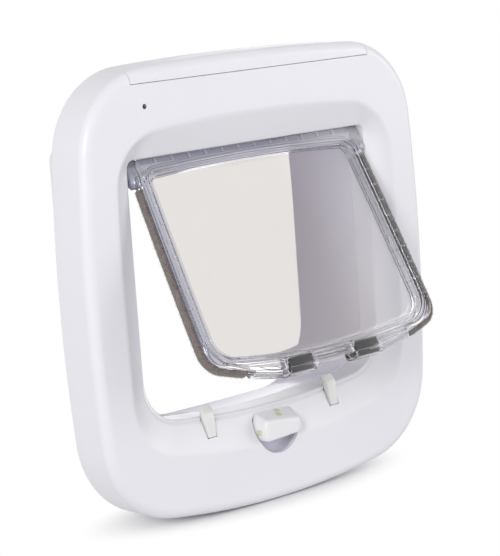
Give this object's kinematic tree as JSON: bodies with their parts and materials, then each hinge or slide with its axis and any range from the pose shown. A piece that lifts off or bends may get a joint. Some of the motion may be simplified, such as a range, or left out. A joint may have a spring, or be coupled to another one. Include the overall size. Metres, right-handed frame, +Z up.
{
  "type": "cat flap",
  "caption": "Room-side unit of a tag-reading cat flap: moulded frame with a sloped recess, clear swinging flap with pile seal, latch fingers, rotary lock and a tunnel through the door.",
  "frame": {"origin": "middle of the four door fixing holes, on the face that seats against the door", "axes": "+X to the right seen from the room, +Y from the room to the outside, +Z up"},
  "size_m": [0.222, 0.1123, 0.226],
  "materials": {
    "frame_white": "smooth moulded",
    "tunnel_white": "smooth moulded",
    "flap_clear": "clear, lightly tinted",
    "pile_brown": "short dense pile",
    "magnet_grey": "satin",
    "finger_milky": "milky translucent",
    "knob_white": "satin moulded",
    "lens_smoke": "polished",
    "steel": "brushed",
    "cell_jacket": "printed film",
    "tray_grey": "fine texture",
    "board_green": "solder mask",
    "coil_copper": "enamelled wire",
    "light_white": "clear cap",
    "gear_white": "moulded"
  },
  "bodies": {
    "housing": {"front_frame": "frame_white", "back_cover": "tunnel_white", "cover_screws": "steel", "tunnel_sleeve": "tunnel_white", "reader_coil": "coil_copper", "battery_tray": "tray_grey", "battery_1": "cell_jacket", "battery_2": "cell_jacket", "battery_3": "cell_jacket", "battery_4": "cell_jacket", "contact_left": "steel", "contact_right": "steel", "circuit_board": "board_green", "indicator_led": "light_white", "indicator_lens": "lens_smoke", "learn_switch": "tray_grey", "latch_motor": "steel", "detent_spring": "steel", "keeper_magnet_left": "magnet_grey", "keeper_magnet_right": "magnet_grey"},
    "flap": {"flap_panel": "flap_clear", "pile_seal_left": "pile_brown", "pile_seal_right": "pile_brown", "flap_magnet_left": "magnet_grey", "flap_magnet_right": "magnet_grey", "hinge_pin_left": "steel", "hinge_pin_right": "steel"},
    "latch": {"latch_carrier": "gear_white", "latch_finger_left": "finger_milky", "latch_finger_right": "finger_milky"},
    "pinion": {"motor_pinion": "gear_white"},
    "lock": {"lock_knob": "knob_white", "lock_cam": "gear_white"},
    "battery_lid": {"battery_cover": "frame_white"},
    "button": {"learn_button": "knob_white"}
  },
  "joints": [
    {"name": "flap_swing", "type": "hinge", "parent": "housing", "child": "flap", "pos_m": [0, -0.0129, 0.0651], "axis": [-1, 0, 0], "range_deg": [-108, 57]},
    {"name": "latch_lift", "type": "slide", "parent": "housing", "child": "latch", "axis": [0, 0, 1], "range_m": [0, 0.009]},
    {"name": "pinion_spin", "type": "hinge", "parent": "housing", "child": "pinion", "pos_m": [0.05296, -0.017, -0.095], "axis": [0, 1, 0], "range_deg": [0, 110]},
    {"name": "knob_turn", "type": "hinge", "parent": "housing", "child": "lock", "pos_m": [0, -0.02, -0.0748], "axis": [0, -1, 0], "range_deg": [-180, 90]},
    {"name": "cover_lift", "type": "slide", "parent": "housing", "child": "battery_lid", "axis": [0, 0, 1], "range_m": [0, 0.025]},
    {"name": "button_press", "type": "slide", "parent": "housing", "child": "button", "axis": [0, 0, -1], "range_m": [0, 0.001], "stiffness_N_per_m": 300}
  ],
  "couplings": [
    {"joint": "pinion_spin", "follows": "latch_lift", "rad_per_m": 208.33}
  ]
}
